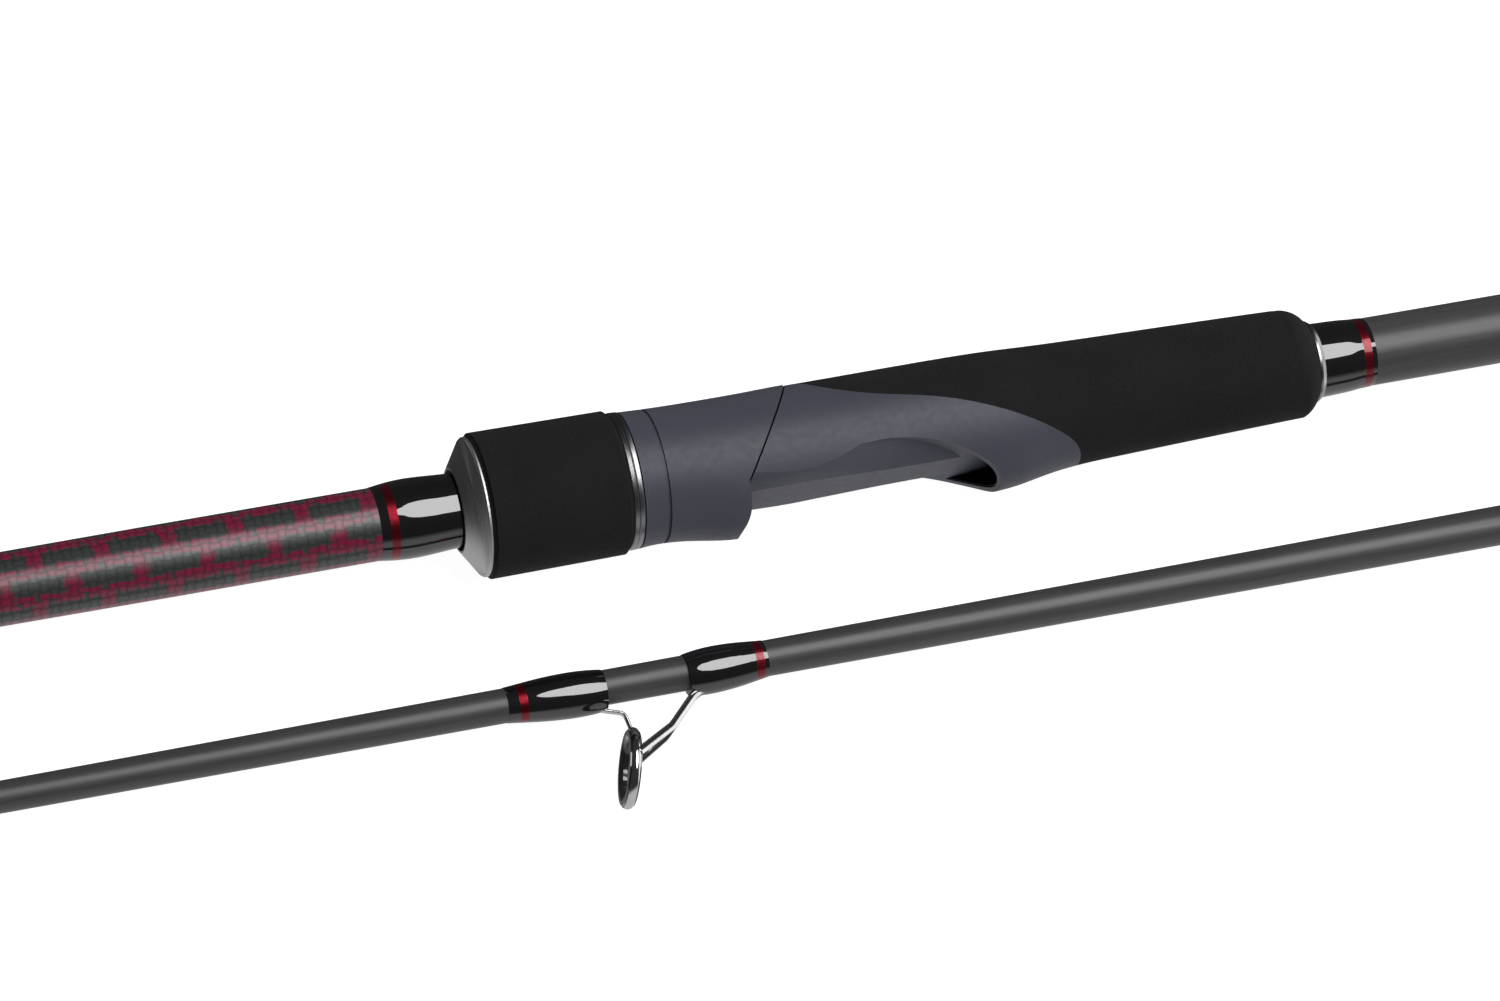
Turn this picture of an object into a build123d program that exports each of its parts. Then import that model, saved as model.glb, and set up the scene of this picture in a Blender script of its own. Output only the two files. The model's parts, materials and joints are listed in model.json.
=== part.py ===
from build123d import *
import os
from math import atan2, cos, degrees, pi, radians

# Two-piece spinning rod, 2.4 m when joined, lying as its two sections side by side.
# Row frame: +X towards the butt, +Z up, guides and reel seat facing -Y, origin at the
# bottom centre of the whole object's box. Millimetres.
# Each section is built on its own axis (the X axis) and moved to its place at the end.
# x = 0 of both sections is the middle of the seam between the sliding hood and the seat.

# ---------------------------------------------------------------- driving dimensions
SECTION_LENGTH = 1200.0            # each section, without the spigot
BUTT_END_X = 370.0                 # back of the rubber butt cap
BUTT_FRONT_X = BUTT_END_X - SECTION_LENGTH
TIP_REAR_X = 368.0                 # open (socket) end of the tip section
TIP_END_X = TIP_REAR_X - SECTION_LENGTH
SPIGOT_OUT = 62.0                  # length of spigot that enters the tip section
SPIGOT_R = 3.6                     # exposed part
SPIGOT_ROOT_R = 3.0                # glued part inside the butt blank
SOCKET_R = 3.65                    # 0.05 mm radial clearance on the spigot
SECTION_GAP_Y = 39.0               # distance between the two section axes

BLANK_R = 6.85                     # parallel handle end of the butt blank
BLANK_WALL = 1.0
BLANK_TAPER_X = -120.0             # the blank tapers forward of here
BLANK_FRONT_R = 4.6
SLEEVE_T = 0.30                    # woven skin on the blank in front of the seat
SLEEVE_X = (-330.0, -72.2)

NUT_R = 14.4                       # foam sleeve of the locking nut
HANDLE_R = 13.05                   # reel seat and hoods, above the axis
HOOD_DEPTH = 15.15                 # lowest point of the sliding hood under the axis
LANDING_Y = -8.4                   # flat the reel foot sits on
THREAD_PITCH = 2.8
NUT_TURNS = 5
HOOD_TRAVEL = THREAD_PITCH * NUT_TURNS
BARREL_R = 10.0
NUT_REAR_X = -27.35                # where the nut's foam meets its silver ring
GRIP_END_X = 116.5                 # rear end of the foam grip
HOOD_BORE_R = 10.15
SEAM_GAP = 0.4                     # between the sliding hood and the seat
SEAM_LOW = (-3.95, -7.2)           # lower end of the slanted seam, side view (x, y)
SEAM_HIGH = (13.74, 20.0)          # a point on the seam line above the seat

RING_LEAN = 15.0                   # guide rings lean this many degrees to the tip

# guide name, ring size, place from the section's tip end, ring centre under the axis
TIP_GUIDES = (
    ("guide_8a", 8.0, 98.0, 7.8),
    ("guide_8b", 8.0, 222.0, 8.2),
    ("guide_10", 10.0, 376.0, 10.2),
    ("guide_12", 12.0, 567.0, 12.8),
    ("guide_16", 16.0, 795.3, 16.7),
    ("guide_20", 20.0, 1035.0, 20.2),
)
STRIPPER = ("stripper", 26.4, 150.0, 22.8)
TIP_RADII = ((0.0, 0.95), (420.0, 2.3), (677.0, 3.13), (832.0, 3.57), (982.0, 3.97), (1200.0, 4.5))
TIP_TOP_SIZE = 8.0
FRAME_WALL = 0.7                   # metal hoop round each ceramic ring
BORE_SHARE = 0.69                  # ceramic bore radius over frame radius

# ---------------------------------------------------------------- places in the row
LARGEST_TIP_GUIDE = TIP_GUIDES[-1]
RING_REACH = LARGEST_TIP_GUIDE[3] + LARGEST_TIP_GUIDE[1] / 2 * cos(radians(RING_LEAN)) + 0.05
ORIGIN_X = -(BUTT_END_X + BUTT_FRONT_X - SPIGOT_OUT) / 2
BUTT_Y = (SECTION_GAP_Y + RING_REACH - NUT_R) / 2
TIP_Y = BUTT_Y - SECTION_GAP_Y
BUTT_Z = NUT_R
TIP_Z = LARGEST_TIP_GUIDE[1] / 2
AT_BUTT = Pos(ORIGIN_X, BUTT_Y, BUTT_Z)
AT_TIP = Pos(ORIGIN_X, TIP_Y, TIP_Z)

parts = {}


# ---------------------------------------------------------------- helpers
def lathe(*outline):
    """Solid of revolution about X from (x, radius) points or ready edges."""
    if isinstance(outline[0], tuple):
        return revolve(make_face(Polyline(*outline, close=True)), Axis.X)
    return revolve(make_face(outline), Axis.X)


def tube(x0, x1, inner, outer):
    return lathe((x0, inner), (x0, outer), (x1, outer), (x1, inner))


def rod(x0, x1, radius):
    return lathe((x0, 0), (x0, radius), (x1, radius), (x1, 0))


def side_prism(edges, half_width=22.0):
    """Prism across the rod (along Z) from a closed outline in the side view."""
    return extrude(make_face(edges), half_width, both=True)


def oval(x, top, bottom):
    """Cross-section at x: half circle above the axis, half ellipse below it."""
    upper = ThreePointArc((0, -top), (top, 0), (0, top))
    lower = EllipticalCenterArc((0, 0), bottom, top, 90, arc_size=180)
    return Plane.YZ.offset(x) * make_face([upper, lower])


def blank_radius(x):
    """Outer radius of the butt blank."""
    if x >= BLANK_TAPER_X:
        return BLANK_R
    share = (BLANK_TAPER_X - x) / (BLANK_TAPER_X - BUTT_FRONT_X)
    return BLANK_R + (BLANK_FRONT_R - BLANK_R) * share


def tip_radius(x):
    """Outer radius of the tip blank."""
    run = x - TIP_END_X
    for (run0, r0), (run1, r1) in zip(TIP_RADII, TIP_RADII[1:]):
        if run <= run1:
            return r0 + (r1 - r0) * (run - run0) / (run1 - run0)
    return TIP_RADII[-1][1]


def thread_wrap(x0, x1, radius, height, band=None, steep=0):
    """Lacquered thread wrap on a blank, with a groove where a coloured band goes.

    steep = -1 or 1 makes the end at x0 or x1 blunt, 0 tapers both ends.
    """
    ease = min(2.2, 0.2 * (x1 - x0))
    first = 0.35 if steep < 0 else ease
    last = 0.35 if steep > 0 else ease
    low, high = 0.05, height
    body = lathe((x0, radius(x0) - 0.4), (x0, radius(x0) + low), (x0 + first, radius(x0) + high),
                 (x1 - last, radius(x1) + high), (x1, radius(x1) + low), (x1, radius(x1) - 0.4))
    if band:
        body -= tube(band[0], band[1], radius(x0) + high - 0.25, radius(x0) + 9)
    return body


# ---------------------------------------------------------------- blanks and ferrule
def make_blanks():
    outer = [(BUTT_FRONT_X, BLANK_FRONT_R), (BLANK_TAPER_X, BLANK_R), (362.0, BLANK_R)]
    inner = [(362.0, BLANK_R - BLANK_WALL), (BLANK_TAPER_X, BLANK_R - BLANK_WALL),
             (BUTT_FRONT_X + 75, SPIGOT_ROOT_R), (BUTT_FRONT_X, SPIGOT_ROOT_R)]
    parts["butt_blank"] = lathe(*outer, *inner)

    front = BUTT_FRONT_X - SPIGOT_OUT
    parts["ferrule_spigot"] = lathe(
        (front, 0), (front, SPIGOT_R - 0.5), (front + 0.5, SPIGOT_R), (BUTT_FRONT_X, SPIGOT_R),
        (BUTT_FRONT_X, SPIGOT_ROOT_R), (BUTT_FRONT_X + 70, SPIGOT_ROOT_R), (BUTT_FRONT_X + 70, 0))

    x0, x1 = SLEEVE_X
    parts["woven_sleeve"] = lathe(
        (x0, blank_radius(x0)), (x0 + 0.3, blank_radius(x0) + SLEEVE_T), (BLANK_TAPER_X, BLANK_R + SLEEVE_T),
        (x1, BLANK_R + SLEEVE_T), (x1, BLANK_R), (BLANK_TAPER_X, BLANK_R))

    outer = [(TIP_END_X + run, r) for run, r in TIP_RADII]
    inner = [(TIP_REAR_X, SOCKET_R), (TIP_REAR_X - 64, SOCKET_R), (TIP_REAR_X - 70, 3.2),
             (TIP_END_X + 250, 0.6), (TIP_END_X + 250, 0), (TIP_END_X, 0)]
    parts["tip_blank"] = lathe(*outer, *inner)


# ---------------------------------------------------------------- wraps and trim bands
def add_wrap(name, x0, x1, radius, height, band, bore, steep=0):
    wrap = thread_wrap(x0, x1, radius, height, band, steep) - bore
    ring = thread_wrap(x0, x1, radius, height, None, steep) & tube(band[0], band[1], 0.5, 20)
    ring = (ring - rod(band[0], band[1], radius(x0) + height - 0.25)) - bore
    parts[name + "_wrap"] = wrap
    parts[name + "_band"] = ring


def make_wraps():
    sleeve = rod(SLEEVE_X[0], SLEEVE_X[1], BLANK_R + SLEEVE_T)
    bore = rod(-80, 400, BLANK_R)
    swell = Spline((-76.0, 7.2), (-74.2, 7.45), (-72.0, 7.68), (-69.0, 7.8), (-65.5, 7.66), (-62.0, 7.42),
                   (-59.0, 7.28), (-57.0, 7.25))
    spindle = lathe(swell, Line((-57.0, 7.25), (-57.0, 0)), Line((-57.0, 0), (-76.0, 0)),
                    Line((-76.0, 0), (-76.0, 7.2)))
    groove = tube(-74.2, -72.5, 7.22, 12.0)
    parts["front_wrap"] = spindle - bore - sleeve - groove
    parts["front_band"] = spindle & groove

    rear = lathe((117.7, BLANK_R), (117.7, 7.50), (120.0, 7.43), (122.0, 7.36), (124.2, 7.25), (126.4, 7.04),
                 (128.1, 6.98), (129.0, 6.88), (129.0, BLANK_R))
    groove = tube(126.4, 128.1, 6.90, 12.0)
    parts["rear_wrap"] = rear - groove
    parts["rear_band"] = rear & groove

    add_wrap("butt_grip", 228.0, 246.0, blank_radius, 0.62, (231.0, 233.6), bore, steep=1)

    front_blank = lathe((BUTT_FRONT_X, 0), (BUTT_FRONT_X, BLANK_FRONT_R), (BLANK_TAPER_X, BLANK_R),
                        (BLANK_TAPER_X, 0))
    add_wrap("sleeve_end", SLEEVE_X[0] - 26, SLEEVE_X[0] - 0.5, blank_radius, 0.62,
             (SLEEVE_X[0] - 22.5, SLEEVE_X[0] - 20), front_blank, steep=1)
    add_wrap("butt_ferrule", BUTT_FRONT_X + 0.6, BUTT_FRONT_X + 30, blank_radius, 0.6,
             (BUTT_FRONT_X + 24, BUTT_FRONT_X + 26.4), front_blank, steep=-1)
    add_wrap("tip_ferrule", TIP_REAR_X - 30, TIP_REAR_X - 0.6, tip_radius, 0.6,
             (TIP_REAR_X - 26.4, TIP_REAR_X - 24), tip_envelope(), steep=1)


def tip_envelope():
    """Solid with the tip blank's outer surface, to cut what sits on it."""
    outer = [(TIP_END_X + run, r) for run, r in TIP_RADII]
    return lathe(*outer, (TIP_REAR_X, 0), (TIP_END_X, 0))


# ---------------------------------------------------------------- reel seat
def handle_outer():
    """Outer surface shared by the seat and the foam grip behind it."""
    stations = ((-6.0, 13.05, 14.7), (3.0, 13.05, 14.75), (12.0, 13.07, 14.8), (21.0, 13.1, 14.8),
                (30.0, 13.14, 14.8), (39.0, 13.16, 14.82), (48.0, 13.08, 14.75), (57.0, 12.74, 13.5),
                (66.0, 12.42, 12.3), (75.0, 12.2, 11.9), (84.0, 12.0, 11.62), (93.0, 11.79, 11.34),
                (102.0, 11.57, 11.08), (111.0, 11.3, 10.85), (119.0, 11.0, 10.65))
    return loft([oval(*station) for station in stations])


def seam_region(gap):
    """Everything on the tip side of the slanted seam, moved back by gap."""
    x0, y0 = SEAM_LOW
    x1, y1 = SEAM_HIGH
    outline = Polyline((-70, y1), (x1 + gap, y1), (x0 + gap, y0), (x0 + gap, -22), (-70, -22), close=True)
    return side_prism(outline)


def grip_region():
    """Side view of what the foam covers: above and behind the swept edge of the seat."""
    edge = Spline((10.6, 14.6), (12.5, 11.4), (16.4, 8.7), (22.3, 6.2), (35.0, 2.9), (48.1, -1.9),
                  (60.3, -8.2), (64.6, -11.7), (65.3, -15.5))
    border = Polyline((65.3, -15.5), (65.3, -24), (140, -24), (140, 24), (10.6, 24), (10.6, 14.6))
    return side_prism([edge, border])


def seat_core():
    """Body between the hoods: round at the front, with hollow flanks towards the fixed hood."""
    round_flank = ((-4.6, 13.3), (-6.8, 11.7), (-7.7, 9.8), (LANDING_Y, 7.0))
    hollow_flank = ((-3.9, 11.6), (-5.4, 9.5), (-6.9, 7.6), (LANDING_Y, 5.2))
    sections = []
    for x, share in ((-8.0, 0.0), (4.0, 0.0), (12.0, 0.08), (20.0, 0.5), (30.0, 0.9), (44.0, 1.0), (72.0, 1.0)):
        flank = [(a[0] + (b[0] - a[0]) * share, a[1] + (b[1] - a[1]) * share)
                 for a, b in zip(round_flank, hollow_flank)]
        mirrored = [(y, -z) for y, z in flank]
        shoulder = Polyline(mirrored[0], (flank[0][0], -17), (17, -17), (17, 17), (flank[0][0], 17), flank[0])
        floor = Line(flank[-1], mirrored[-1])
        outline = make_face([shoulder, Spline(*flank), floor, Spline(*reversed(mirrored))])
        sections.append(Plane.YZ.offset(x) * outline)
    return loft(sections)


def under_rim():
    """Side view of what is cut away below the seat's flank edge and the fixed hood's rim."""
    rim = Spline((14.0, -3.75), (23.0, -3.95), (30.0, -4.8), (35.5, -6.3), (39.5, -8.0), (43.5, -10.3),
                 (46.6, -12.8), (48.2, -15.6))
    border = Polyline((48.2, -15.6), (48.2, -24), (-10, -24), (-10, -3.75), (14.0, -3.75))
    return side_prism([rim, border])


def foot_pocket(stations, wall=0.0):
    """Space for one end of a reel foot: an oval shell's inside, below the landing."""
    inside = loft([oval(x, side - wall, depth - wall) for x, side, depth in stations])
    low = Pos(0, LANDING_Y - 10 + wall, 0) * Box(400, 20, 60)
    return inside & low


SEAT_POCKET = ((30.0, 11.7, 13.7), (50.0, 11.6, 13.6), (56.0, 11.3, 12.75), (62.0, 10.4, 11.1))
HOOD_POCKET = ((-17.0, 10.9, 11.9), (-12.4, 11.4, 12.9), (-8.4, 11.6, 13.5), (6.0, 11.7, 13.8))
POCKET_LINER = 0.45


def make_reel_seat():
    bore = rod(-70, 200, BLANK_R)
    outer = handle_outer()
    seat_shell = (outer - grip_region()) - seam_region(SEAM_GAP)
    seat = (seat_shell - under_rim()) + (seat_shell & seat_core())
    tail = rod(14.0, 76.0, 8.3)
    pocket = foot_pocket(SEAT_POCKET)
    seat = (seat + (tail - seam_region(SEAM_GAP))) - pocket - bore
    parts["seat_body"] = seat

    liner = pocket - foot_pocket(SEAT_POCKET, POCKET_LINER)
    liner = (liner & Pos(48.4, 0, 0) * Box(23.0, 60, 60)) - Pos(0.4, 0, 0) * under_rim()
    parts["seat_pocket_liner"] = solids_of([liner])

    envelope_end = ThreePointArc((110.9, 11.2), (115.2, 9.8), (GRIP_END_X, 8.0))
    envelope = lathe(Line((GRIP_END_X, 8.0), (GRIP_END_X, 0)), Line((GRIP_END_X, 0), (0, 0)), Line((0, 0), (0, 20)),
                     Line((0, 20), (110.9, 20)), Line((110.9, 20), (110.9, 11.2)), envelope_end)
    grip = (outer & grip_region() & envelope) - tail - bore
    parts["rear_grip"] = grip

    barrel = tube(-56.0, 16.0, BLANK_R, BARREL_R) & seam_region(SEAM_GAP)
    barrel -= Pos(0, LANDING_Y - 5, 0) * Box(40, 10, 40)
    key = Pos(-7.0, 9.9, 0) * Box(26.0, 1.8, 2.8)
    key = key & seam_region(SEAM_GAP)
    parts["threaded_barrel"] = barrel + key


# ---------------------------------------------------------------- sliding hood
def make_sliding_hood():
    stations = ((-25.0, 13.42, 13.55), (-20.0, 13.22, 13.35), (-16.3, 13.12, 13.65), (-12.4, 13.07, 14.25),
                (-8.4, HANDLE_R, 14.92), (-4.0, HANDLE_R, HOOD_DEPTH), (12.0, HANDLE_R, HOOD_DEPTH))
    hood = loft([oval(*station) for station in stations])
    x0, y0 = SEAM_LOW
    x1, y1 = SEAM_HIGH
    low = -HOOD_DEPTH - 0.15
    lip = Spline((x0, -11.0), (x0 - 0.35, -13.2), (x0 - 1.25, -14.6), (x0 - 3.2, low))
    border = Polyline((x0 - 3.2, low), (x0 - 3.2, -24), (-30, -24), (-30, y1), (x1, y1), (x0, y0), (x0, -11.0))
    hood = hood & side_prism([lip, border])
    neck = lathe((-28.6, 10.3), (-28.6, 11.2), (-28.2, 11.4), (-27.6, 11.4), (-27.2, 10.9), (-24.9, 10.9),
                 (-24.9, 10.3))
    hood += neck
    hood -= rod(-40, 30, HOOD_BORE_R)
    hood -= Pos(0, 9.0, 0) * Box(80, 4.4, 3.2)
    pocket = foot_pocket(HOOD_POCKET)
    hood -= pocket
    hood -= tube(-20.4, -19.8, 12.85, 20.0)
    parts["sliding_hood"] = hood

    zone = Pos(-10.5, 0, 0) * Box(11.4, 60, 60)
    liner = (pocket & zone) - foot_pocket(HOOD_POCKET, POCKET_LINER) - rod(-40, 30, HOOD_BORE_R)
    parts["hood_pocket_liner"] = liner


# ---------------------------------------------------------------- locking nut
def make_locking_nut():
    core_r = 12.6
    parts["nut_core"] = lathe((-56.4, 10.25), (-56.4, core_r), (NUT_REAR_X, core_r), (NUT_REAR_X, 11.75),
                              (-28.9, 11.75), (-28.9, 10.25))
    parts["nut_collar"] = lathe((-59.9, 8.05), (-59.9, 8.4), (-56.5, 13.55), (-56.15, 13.8), (-55.8, 13.8),
                                (-55.8, core_r), (-56.4, core_r), (-56.4, 8.05))
    front = RadiusArc((-55.8, NUT_R - 0.9), (-54.9, NUT_R), -0.9)
    x1 = NUT_REAR_X
    rear = RadiusArc((x1 - 0.8, NUT_R - 0.2), (x1, NUT_R - 1.0), -0.8)
    parts["nut_grip"] = lathe(Line((x1, core_r), (-55.8, core_r)), Line((-55.8, core_r), (-55.8, NUT_R - 0.9)),
                              front, Line((-54.9, NUT_R), (x1 - 0.8, NUT_R - 0.2)), rear,
                              Line((x1, NUT_R - 1.0), (x1, core_r)))
    parts["nut_ring"] = lathe((x1, 11.1), (x1, 13.4), (x1 + 0.15, 13.55), (-26.5, 13.62), (-26.3, 13.4),
                              (-26.1, 13.58), (-25.35, 13.55), (-25.2, 13.4), (-25.2, 11.1))


# ---------------------------------------------------------------- handle rear and butt
def make_butt_end():
    x0 = GRIP_END_X
    parts["rear_check"] = lathe((x0, BLANK_R), (x0, 8.25), (x0 + 0.4, 8.3), (x0 + 1.2, 7.75), (x0 + 1.2, BLANK_R))
    parts["butt_check"] = lathe((246.0, BLANK_R), (246.0, 7.75), (247.2, 8.45), (247.8, 8.4), (247.8, BLANK_R))
    nose = ThreePointArc((247.8, 8.3), (249.3, 10.0), (253.5, 10.9))
    swell = Spline((253.5, 10.9), (290.0, 11.2), (330.0, 12.3), (356.0, 13.3),
                   tangents=[(1, 0.02), (1, 0.03)])
    parts["butt_grip"] = lathe(nose, swell, Line((356.0, 13.3), (356.0, BLANK_R)),
                               Line((356.0, BLANK_R), (247.8, BLANK_R)), Line((247.8, BLANK_R), (247.8, 8.3)))
    parts["butt_ring"] = lathe((356.0, BLANK_R), (356.0, 13.45), (356.3, 13.75), (357.7, 13.75), (358.0, 13.45),
                               (358.0, BLANK_R))
    shoulder = RadiusArc((358.0, 13.6), (358.8, NUT_R), -0.8)
    dome = ThreePointArc((366.5, NUT_R), (368.98, 13.38), (BUTT_END_X, 10.9))
    parts["butt_cap"] = lathe(shoulder, Line((358.8, NUT_R), (366.5, NUT_R)), dome,
                              Line((BUTT_END_X, 10.9), (BUTT_END_X - 0.8, 9.5)),
                              Line((BUTT_END_X - 0.8, 9.5), (BUTT_END_X - 0.8, 0)),
                              Line((BUTT_END_X - 0.8, 0), (362.0, 0)), Line((362.0, 0), (362.0, BLANK_R)),
                              Line((362.0, BLANK_R), (358.0, BLANK_R)), Line((358.0, BLANK_R), (358.0, 13.6)))


# ---------------------------------------------------------------- guides
def ring_place(x, height):
    return Location((x, -height, 0), (0, 0, -RING_LEAN))


def hoop(radius, half):
    """Metal hoop round the ceramic ring, with a crowned outside, about X."""
    inner, edge = radius - FRAME_WALL, radius - 0.3
    crown = ThreePointArc((-half, edge), (0, radius), (half, edge))
    return lathe(crown, Line((half, edge), (half, inner)), Line((half, inner), (-half, inner)),
                 Line((-half, inner), (-half, edge)))


def ceramic(radius, half):
    """Ceramic ring about X: rounded lips and a short cylindrical bore."""
    outer, bore = radius - FRAME_WALL, radius * BORE_SHARE
    land, depth = 0.35 * half, outer - bore
    left = ThreePointArc((-half, outer - 0.35 * depth), (-0.8 * half, bore + 0.18 * depth), (-land, bore))
    right = ThreePointArc((land, bore), (0.8 * half, bore + 0.18 * depth), (half, outer - 0.35 * depth))
    return lathe(left, Line((-land, bore), (land, bore)), right,
                 Line((half, outer - 0.35 * depth), (half, outer)), Line((half, outer), (-half, outer)),
                 Line((-half, outer), (-half, outer - 0.35 * depth)))


def bar(points, width, thick, bend):
    """Rounded flat bar along a bent path."""
    path = FilletPolyline(*points, radius=bend)
    start = Plane(path @ 0, z_dir=path % 0, x_dir=(0, 0, 1))
    return sweep(start * Ellipse(width / 2, thick / 2), path)


def foot(x_thick, x_thin, radius, half_width, thick):
    """Wedge that lies on the blank under the thread wrap."""
    low = -(radius - 0.9)
    outline = Polyline((x_thick, low), (x_thick, -(radius + thick)), (x_thin, -(radius + 0.2)), (x_thin, low),
                       close=True)
    return side_prism(outline, half_width)


def make_guide(name, size, x, height, radius_at, blank, two_feet, with_bands):
    """One line guide: frame, ceramic ring, thread wraps and coloured bands."""
    ring_r = size / 2
    scale = size / 16
    run = 0.45 + 0.55 * scale
    half = 0.62 + 0.18 * scale
    top = ring_place(x, height) * Pos(0, ring_r - FRAME_WALL / 2, 0)
    top_x, top_y = top.position.X, top.position.Y
    under = radius_at(x)

    leg_w, leg_t = 1.7 * run, 1.1 * run
    side = ring_r - leg_t / 2 - 0.02
    frame = ring_place(x, height) * hoop(ring_r, half)
    rear_x = x + 15.7 * scale
    for z in (-1, 1):
        path = ((rear_x + 7 * run, -(under + 0.15), z * 0.6), (rear_x + 0.8 * scale, -(under + 0.45), z * 0.9),
                (x + 9.2 * scale, -(under + 0.56 * (height - under)), z * 0.6 * side),
                (x + 1.0 * scale, -(height - 0.17 * ring_r), z * 0.98 * side))
        frame += bar(path, leg_t, leg_w, 5.0 * scale)
    rear_end = rear_x + 15.4 * run
    frame += foot(rear_x - 0.2, rear_end - 3.0, under, 1.5 * run, 0.95 * run)
    wraps = [(rear_x - 0.7, rear_end, -1)]
    if two_feet:
        front_x = x - 2.1 * scale
        path = ((front_x - 7 * run, -(under + 0.15), 0), (front_x - 1.2 * scale, -(under + 0.8), 0),
                (x + 1.4 * scale, -(under + 0.45 * (height - ring_r - under)), 0), (top_x, top_y, 0))
        frame += bar(path, 1.7 * run, 0.85 * run, 1.6 * scale)
        front_end = front_x - 19.1 * run
        frame += foot(front_x - 0.4, front_end + 4.4, under, 1.3 * run, 0.8 * run)
        wraps.append((front_end, front_x + 0.5, 1))
    cut_out = ring_place(x, height) * rod(-half - 0.5, half + 0.5, ring_r - FRAME_WALL)
    line_way = ring_place(x, height) * rod(-3 * size, 3 * size, ring_r * BORE_SHARE)
    frame = frame - cut_out - line_way - blank
    parts[name + "_frame"] = frame
    parts[name + "_ring"] = ring_place(x, height) * ceramic(ring_r, half + 0.35)

    wrap_solids, band_solids = [], []
    for x0, x1, steep in wraps:
        height_here = 0.55 + 0.45 * run
        wrap = guide_wrap(x0, x1, radius_at, height_here, steep) - frame - blank
        if with_bands:
            band = rod(x1 - 2.5, x1 - 0.8, 30) if steep < 0 else rod(x0 + 2.2, x0 + 3.8, 30)
            band_solids.append(wrap & band)
            wrap -= band
        wrap_solids.append(wrap)
    parts[name + "_wraps"] = solids_of(wrap_solids)
    if band_solids:
        parts[name + "_bands"] = solids_of(band_solids)


def guide_wrap(x0, x1, radius_at, height, steep):
    """Spindle over a guide foot, tipped away from the blank at its end beside the ring."""
    length = x1 - x0
    profile = ((0.0, 0.10), (0.12, 0.34), (0.32, 0.74), (0.52, 1.0), (0.72, 1.06), (0.90, 0.86), (1.0, 0.62))
    if steep < 0:
        profile = [(1 - share, rise) for share, rise in reversed(profile)]
    points = [(x0 + share * length, radius_at(x0 + share * length) + rise * height) for share, rise in profile]
    outline = Spline(*points)
    first, last = points[0], points[-1]
    body = lathe(outline, Line(last, (x1, 0)), Line((x1, 0), (x0, 0)), Line((x0, 0), first))
    thin_end = Pos(x1 if steep < 0 else x0, 0, 0)
    tip_angle = degrees(atan2(0.5 * height, length)) * (1 if steep < 0 else -1)
    return thin_end * Rot(0, 0, tip_angle) * thin_end.inverse() * body


def solids_of(shapes):
    return Compound(children=[solid for shape in shapes for solid in shape.solids()])


def make_tip_top(blank):
    """Tube that caps the blank's tip, with the last ring held on two side legs."""
    ring_r = TIP_TOP_SIZE / 2
    x, height = TIP_END_X - 1.2, 5.3
    frame = ring_place(x, height) * hoop(ring_r, 0.7)
    frame += lathe((TIP_END_X - 0.6, 0), (TIP_END_X - 0.6, 1.2), (TIP_END_X, 1.5), (TIP_END_X + 13, 1.5),
                   (TIP_END_X + 13, 0))
    for z in (-1, 1):
        path = ((TIP_END_X + 11, -0.4, z * 1.0), (TIP_END_X + 6.5, -1.4, z * 1.3), (x + 0.5, -(height + 0.4), z * 3.8))
        frame += bar(path, 0.8, 1.0, 1.2)
    cut_out = ring_place(x, height) * rod(-1.2, 1.2, ring_r - FRAME_WALL)
    parts["tip_top_frame"] = frame - cut_out - blank
    parts["tip_top_ring"] = ring_place(x, height) * ceramic(ring_r, 0.95)
    wrap = lathe((TIP_END_X + 13.1, 0.5), (TIP_END_X + 13.1, 1.75), (TIP_END_X + 15.5, 1.7),
                 (TIP_END_X + 17.5, 1.1), (TIP_END_X + 17.5, 0.5))
    parts["tip_top_wrap"] = wrap - blank


# ---------------------------------------------------------------- build and write
make_blanks()
make_wraps()
make_reel_seat()
make_sliding_hood()
make_locking_nut()
make_butt_end()

front_taper = lathe((BUTT_FRONT_X, 0), (BUTT_FRONT_X, BLANK_FRONT_R), (BLANK_TAPER_X, BLANK_R), (BLANK_TAPER_X, 0))
name, size, place, height = STRIPPER
make_guide(name, size, BUTT_FRONT_X + place, height, blank_radius, front_taper, True, True)
butt_nodes = list(parts)

tip_shape = tip_envelope()
for name, size, place, height in TIP_GUIDES:
    make_guide(name, size, TIP_END_X + place, height, tip_radius, tip_shape, size >= 12, size >= 12)
make_tip_top(tip_shape)

tip_nodes = {"tip_blank", "tip_ferrule_wrap", "tip_ferrule_band"} | (set(parts) - set(butt_nodes))

os.makedirs("parts", exist_ok=True)
for node, shape in parts.items():
    place = AT_TIP if node in tip_nodes else AT_BUTT
    export_step(place * shape, f"parts/{node}.step")

print("nodes", len(parts))
print("section origins", tuple(AT_BUTT.position), tuple(AT_TIP.position))
print("hood travel per radian of nut", HOOD_TRAVEL / (2 * pi * NUT_TURNS))
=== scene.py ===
import json
import math

import bpy
from mathutils import Matrix, Vector

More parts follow.
